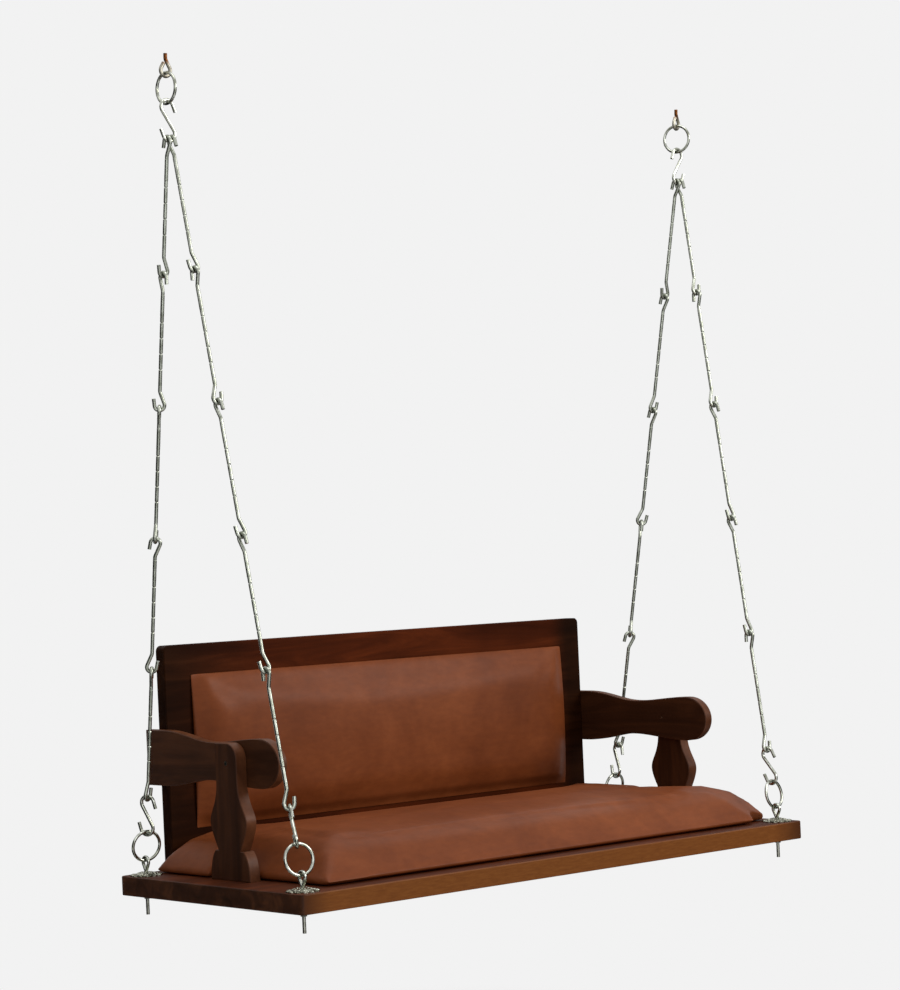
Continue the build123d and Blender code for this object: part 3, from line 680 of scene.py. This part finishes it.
def plate_reliefs():
    """The flower pressed into each cover plate: petals, beads between them and an inner ring."""
    outer_petal = Matrix.Translation((23.2 * MM, 0, 1.5 * MM))
    outer_bead = Matrix.Translation((20.4 * MM, 0, 1.6 * MM))
    slope = Matrix.Rotation(math.radians(22), 4, "Y")
    inner_petal = Matrix.Translation((15.4 * MM, 0, 3.7 * MM)) @ slope
    inner_bead = Matrix.Translation((9.2 * MM, 0, 5.6 * MM))
    shape = bmesh.new()
    for corner in CORNERS:
        for k in range(PLATE_PETALS):
            on, half = (
                bolt_place(corner) @ Matrix.Rotation(math.tau * (k + part) / PLATE_PETALS, 4, "Z")
                for part in (0, 0.5)
            )
            raised_drop(shape, on @ outer_petal, (4.4 * MM, 2.6 * MM, 1.5 * MM))
            raised_drop(shape, half @ outer_bead, (1.2 * MM,) * 3)
            raised_drop(shape, on @ inner_petal, (3.6 * MM, 1.7 * MM, 1.1 * MM))
            raised_drop(shape, half @ inner_bead, (1.1 * MM,) * 3)
    piece = piece_from("cover_plate_relief", shape, SEAT, smooth_below=80)
    finish_piece(piece, "seat", PLATE)


def screw_crosses():
    """The cross recess in the head of each arm screw, as a nearly black cross: painted shade in the
    recess.
    """
    low, high = seat_extent("arm_screws")
    middle_y = (low.y + high.y) / 2
    middle_z = (low.z + high.z) / 2
    shape = bmesh.new()
    bar = Matrix.Diagonal((0.3 * MM, 4.4 * MM, 1.0 * MM, 1))
    for x in (low.x, high.x):
        middle = Matrix.Translation((x, middle_y, middle_z))
        for degrees in (20, 110):
            turn = Matrix.Rotation(math.radians(degrees), 4, "X")
            bmesh.ops.create_cube(shape, size=1, matrix=middle @ turn @ bar)
    piece = piece_from("arm_screw_recess", shape, SEAT)
    finish_piece(piece, "seat", RECESS_SHADE)


# ---------------------------------------------------------------- studio
BACKDROP = (0.888, 0.888, 0.888)
FLOOR_BELOW_BOARD = 0.45
FLOOR_RADIUS = 1.2
FLOOR_FADE = (1.15, 0.6)  # the floor is clear past the first radius and whole within the second


def build_floor():
    """A pale floor disc that fades out, so that it meets the background without an edge."""
    shape = bmesh.new()
    bmesh.ops.create_circle(shape, cap_ends=True, segments=96, radius=FLOOR_RADIUS)
    low_point = SEAT @ Vector((0, 0, -BOARD_THICKNESS - FLOOR_BELOW_BOARD))
    bmesh.ops.translate(shape, vec=(0, 0, low_point.z), verts=shape.verts)
    mesh = bpy.data.meshes.new("floor")
    shape.to_mesh(mesh)
    shape.free()
    floor = add_object("floor", mesh)
    material = bpy.data.materials.new("pale_floor")
    material.use_nodes = True
    nodes = material.node_tree.nodes
    shader = nodes["Principled BSDF"]
    shader.inputs["Base Color"].default_value = (*BACKDROP, 1)
    shader.inputs["Roughness"].default_value = 0.9
    shader.inputs["Specular IOR Level"].default_value = 0.0
    place = nodes.new("ShaderNodeTexCoord")
    length = nodes.new("ShaderNodeVectorMath")
    length.operation = "LENGTH"
    flat = nodes.new("ShaderNodeMapping")
    flat.inputs["Scale"].default_value = (1, 1, 0)
    link(material, place.outputs["Object"], flat.inputs["Vector"])
    link(material, flat.outputs["Vector"], length.inputs[0])
    fade = between(material, length.outputs["Value"], *FLOOR_FADE)
    clear = nodes.new("ShaderNodeBsdfTransparent")
    blend = nodes.new("ShaderNodeMixShader")
    link(material, fade, blend.inputs["Fac"])
    link(material, clear.outputs["BSDF"], blend.inputs[1])
    link(material, shader.outputs["BSDF"], blend.inputs[2])
    link(material, blend.outputs["Shader"], nodes["Material Output"].inputs["Surface"])
    floor.data.materials.append(material)


def build_world():
    """A pale background for the eye and for reflections, and a softer level for light."""
    world = bpy.data.worlds.new("studio")
    bpy.context.scene.world = world
    world.use_nodes = True
    nodes = world.node_tree.nodes
    links = world.node_tree.links
    background = nodes["Background"]
    rays = nodes.new("ShaderNodeLightPath")
    seen = nodes.new("ShaderNodeMath")
    seen.operation = "MAXIMUM"
    clear = nodes.new("ShaderNodeMath")
    clear.operation = "MAXIMUM"
    links.new(rays.outputs["Is Camera Ray"], seen.inputs[0])
    links.new(rays.outputs["Is Glossy Ray"], seen.inputs[1])
    links.new(seen.outputs["Value"], clear.inputs[0])
    links.new(rays.outputs["Is Transmission Ray"], clear.inputs[1])
    level = nodes.new("ShaderNodeMapRange")
    level.inputs["To Min"].default_value = 0.42
    level.inputs["To Max"].default_value = 1.0
    links.new(clear.outputs["Value"], level.inputs["Value"])
    background.inputs["Color"].default_value = (*BACKDROP, 1)
    links.new(level.outputs["Result"], background.inputs["Strength"])


def area_light(name, place, target, size, power, color=(1, 1, 1)):
    data = bpy.data.lights.new(name, "AREA")
    data.shape = "RECTANGLE"
    data.size, data.size_y = size
    data.energy = power
    data.color = color
    lamp = bpy.data.objects.new(name, data)
    bpy.context.scene.collection.objects.link(lamp)
    lamp.location = place
    lamp.rotation_euler = (Vector(target) - Vector(place)).to_track_quat("-Z", "Y").to_euler()
    lamp.visible_camera = False


def dark_card(name, place, target, size, tone=0.012):
    """A dark studio card: only reflections see it, and polished wood and steel turn dark in it."""
    shape = bmesh.new()
    bmesh.ops.create_grid(shape, x_segments=1, y_segments=1, size=0.5)
    bmesh.ops.scale(shape, vec=(*size, 1), verts=shape.verts)
    turn = (Vector(target) - Vector(place)).to_track_quat("-Z", "Y").to_matrix().to_4x4()
    bmesh.ops.transform(shape, matrix=Matrix.Translation(place) @ turn, verts=shape.verts)
    mesh = bpy.data.meshes.new(name)
    shape.to_mesh(mesh)
    shape.free()
    card = add_object(name, mesh)
    material = bpy.data.materials.new(f"{name}_black")
    material.use_nodes = True
    shader = material.node_tree.nodes["Principled BSDF"]
    shader.inputs["Base Color"].default_value = (tone, 1.1 * tone, tone, 1)
    shader.inputs["Roughness"].default_value = 1.0
    shader.inputs["Specular IOR Level"].default_value = 0.0
    card.data.materials.append(material)
    card.visible_camera = False
    card.visible_diffuse = False
    card.visible_shadow = False
    card.visible_transmission = False


def build_lights():
    middle = SEAT @ Vector((0, 0, 0.15))
    area_light("key", (2.6, -4.2, 1.2), middle, (2.4, 2.0), 150, (1.0, 0.975, 0.94))
    area_light("front_fill", (-3.2, -3.6, -0.2), middle, (2.4, 2.0), 26, (0.95, 0.98, 1.0))
    area_light("overhead", (-0.2, -0.5, 2.2), middle, (2.6, 1.6), 36)
    dark_card("card_back_left", (-3.4, 2.6, -1.2), middle, (5.0, 4.2))
    dark_card("card_back_right", (3.0, 3.6, -1.4), middle, (5.0, 3.4))
    dark_card("card_left", (-4.6, -1.2, -1.4), middle, (4.4, 2.6), tone=0.06)
    dark_card("card_right", (4.2, -1.1, -1.3), middle, (2.6, 2.4))
    dark_card("card_front_right", (2.9, -3.3, -2.1), middle, (5.0, 3.0))
    dark_card("card_low", (0.0, 0.4, -2.6), middle, (6.0, 5.0))


# The viewer's place, from the middle of the board's top face, and the lens.
FRAME_WIDTH = 900
FRAME_HEIGHT = 990
EYE = Vector((-3.2182, -3.5472, 0.5220))
EYE_TURN = math.radians(40.859)
EYE_RISE = math.radians(-0.041)
EYE_ROLL = math.radians(-2.579)
EYE_FOCAL_PIXELS = 2670.4
EYE_CENTER_PIXELS = (399.3, 561.0)


def build_camera():
    ahead = Vector((
        math.sin(EYE_TURN) * math.cos(EYE_RISE),
        math.cos(EYE_TURN) * math.cos(EYE_RISE),
        math.sin(EYE_RISE),
    ))
    level_right = Vector((math.cos(EYE_TURN), -math.sin(EYE_TURN), 0))
    level_up = level_right.cross(ahead)
    right = math.cos(EYE_ROLL) * level_right + math.sin(EYE_ROLL) * level_up
    up = math.cos(EYE_ROLL) * level_up - math.sin(EYE_ROLL) * level_right
    basis = Matrix((right, up, -ahead)).transposed().to_4x4()
    data = bpy.data.cameras.new("viewer")
    data.sensor_width = 36
    data.lens = EYE_FOCAL_PIXELS * data.sensor_width / FRAME_HEIGHT
    data.shift_x = (FRAME_WIDTH / 2 - EYE_CENTER_PIXELS[0]) / FRAME_HEIGHT
    data.shift_y = (EYE_CENTER_PIXELS[1] - FRAME_HEIGHT / 2) / FRAME_HEIGHT
    camera = bpy.data.objects.new("viewer", data)
    camera.matrix_world = SEAT @ Matrix.Translation(EYE) @ basis
    bpy.context.scene.collection.objects.link(camera)
    bpy.context.scene.camera = camera


def main():
    build_camera()
    build_world()
    build_lights()
    build_floor()
    bpy.context.scene.view_settings.view_transform = "Standard"
    dress_nodes()
    settle_cover(seat_cushion(), "seat_cushion")
    settle_cover(back_pad(), "back_pad")
    for side in SIDES:
        rod_ribs(side)
    stud_threads()
    plate_reliefs()
    screw_crosses()


main()
